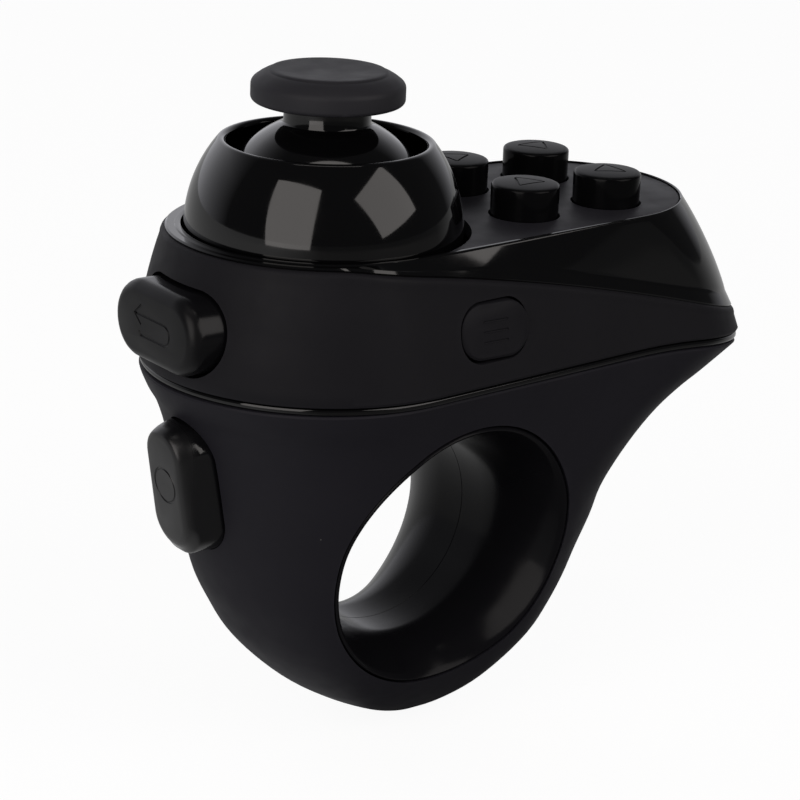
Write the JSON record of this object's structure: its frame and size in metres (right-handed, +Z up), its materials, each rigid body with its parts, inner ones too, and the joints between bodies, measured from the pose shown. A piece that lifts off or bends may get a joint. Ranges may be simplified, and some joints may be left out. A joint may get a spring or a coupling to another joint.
{
  "type": "vr motion controller",
  "caption": "Finger-worn motion controller: a ring body with a thumb stick in a collar, action buttons on a sloping deck, a back button, a trigger and a menu button.",
  "frame": {"origin": "centre of the finger hole, midway through the ring", "axes": "+Y along the finger hole towards the flank with the charging socket, +Z up towards the thumb stick, +X towards the tail"},
  "size_m": [0.0705, 0.0362, 0.0689],
  "materials": {
    "matt_shell": "soft-touch matt moulding",
    "gloss_black": "piano gloss",
    "satin_button": "satin moulded face",
    "thumb_rubber": "matt rubber",
    "nylon": "natural nylon",
    "dark_nylon": "filled nylon",
    "steel": "bright steel",
    "circuit_board": "solder mask",
    "chip": "moulded package",
    "battery_foil": "pouch foil",
    "light_pipe": "frosted clear",
    "plug_plastic": "natural housing"
  },
  "bodies": {
    "root": {"lower_shell": "matt_shell", "waist_trim": "gloss_black", "upper_shell": "matt_shell", "top_trim": "gloss_black", "deck_plate": "matt_shell", "stick_collar": "gloss_black", "ring_liner_near": "gloss_black", "ring_liner_far": "gloss_black", "stick_base": "dark_nylon", "return_spring": "steel", "spring_plate": "dark_nylon", "tilt_sensor": "chip", "action_switches": "steel", "back_switch": "steel", "front_board": "circuit_board", "trigger_switch": "steel", "trigger_board": "circuit_board", "menu_switch": "steel", "power_switch": "steel", "charging_socket": "steel", "status_light": "light_pipe", "main_board": "circuit_board", "button_board": "circuit_board", "processor_chip": "chip", "wireless_module": "steel", "battery_cell": "battery_foil", "battery_plug": "plug_plastic", "board_screws": "steel", "stick_screws": "steel"},
    "pitch_rocker": {"pitch_rocker": "nylon"},
    "stick": {"stick_shaft": "nylon", "cross_pin": "steel", "tail_magnet": "steel", "stick_dome": "gloss_black", "thumb_cap": "thumb_rubber"},
    "roll_rocker": {"roll_rocker": "nylon"},
    "back_button": {"back_button": "satin_button"},
    "trigger_button": {"trigger_button": "satin_button"},
    "menu_button": {"menu_button": "satin_button"},
    "power_slider": {"power_slider": "satin_button"},
    "action_button_front_near": {"action_button_front_near": "satin_button"},
    "action_button_front_far": {"action_button_front_far": "satin_button"},
    "action_button_rear_near": {"action_button_rear_near": "satin_button"},
    "action_button_rear_far": {"action_button_rear_far": "satin_button"}
  },
  "joints": [
    {"name": "stick_pitch", "type": "hinge", "parent": "root", "child": "pitch_rocker", "pos_m": [-0.0079, 0, 0.0317], "axis": [0, 1, 0], "range_deg": [-18, 18], "stiffness_Nm_per_rad": 0.02},
    {"name": "stick_roll", "type": "hinge", "parent": "pitch_rocker", "child": "stick", "pos_m": [-0.0079, 0, 0.0317], "axis": [1, 0, 0], "range_deg": [-18, 18], "stiffness_Nm_per_rad": 0.02},
    {"name": "roll_rocker_turn", "type": "hinge", "parent": "root", "child": "roll_rocker", "pos_m": [-0.0079, 0, 0.0317], "axis": [1, 0, 0], "range_deg": [-18, 18]},
    {"name": "action_front_near_press", "type": "slide", "parent": "root", "child": "action_button_front_near", "axis": [0, 0, -1], "range_m": [0, 0.0009], "stiffness_N_per_m": 400},
    {"name": "action_front_far_press", "type": "slide", "parent": "root", "child": "action_button_front_far", "axis": [0, 0, -1], "range_m": [0, 0.0009], "stiffness_N_per_m": 400},
    {"name": "action_rear_near_press", "type": "slide", "parent": "root", "child": "action_button_rear_near", "axis": [0, 0, -1], "range_m": [0, 0.0009], "stiffness_N_per_m": 400},
    {"name": "action_rear_far_press", "type": "slide", "parent": "root", "child": "action_button_rear_far", "axis": [0, 0, -1], "range_m": [0, 0.0009], "stiffness_N_per_m": 400},
    {"name": "back_press", "type": "slide", "parent": "root", "child": "back_button", "axis": [1, 0, 0], "range_m": [0, 0.0008], "stiffness_N_per_m": 400},
    {"name": "trigger_press", "type": "slide", "parent": "root", "child": "trigger_button", "axis": [1, 0, 0], "range_m": [0, 0.001], "stiffness_N_per_m": 400},
    {"name": "menu_press", "type": "slide", "parent": "root", "child": "menu_button", "axis": [0, 1, 0], "range_m": [0, 0.0005], "stiffness_N_per_m": 500},
    {"name": "power_slide", "type": "slide", "parent": "root", "child": "power_slider", "axis": [1, 0, 0], "range_m": [0, 0.0025]}
  ],
  "couplings": [
    {"joint": "roll_rocker_turn", "follows": "stick_roll", "ratio": 1}
  ]
}
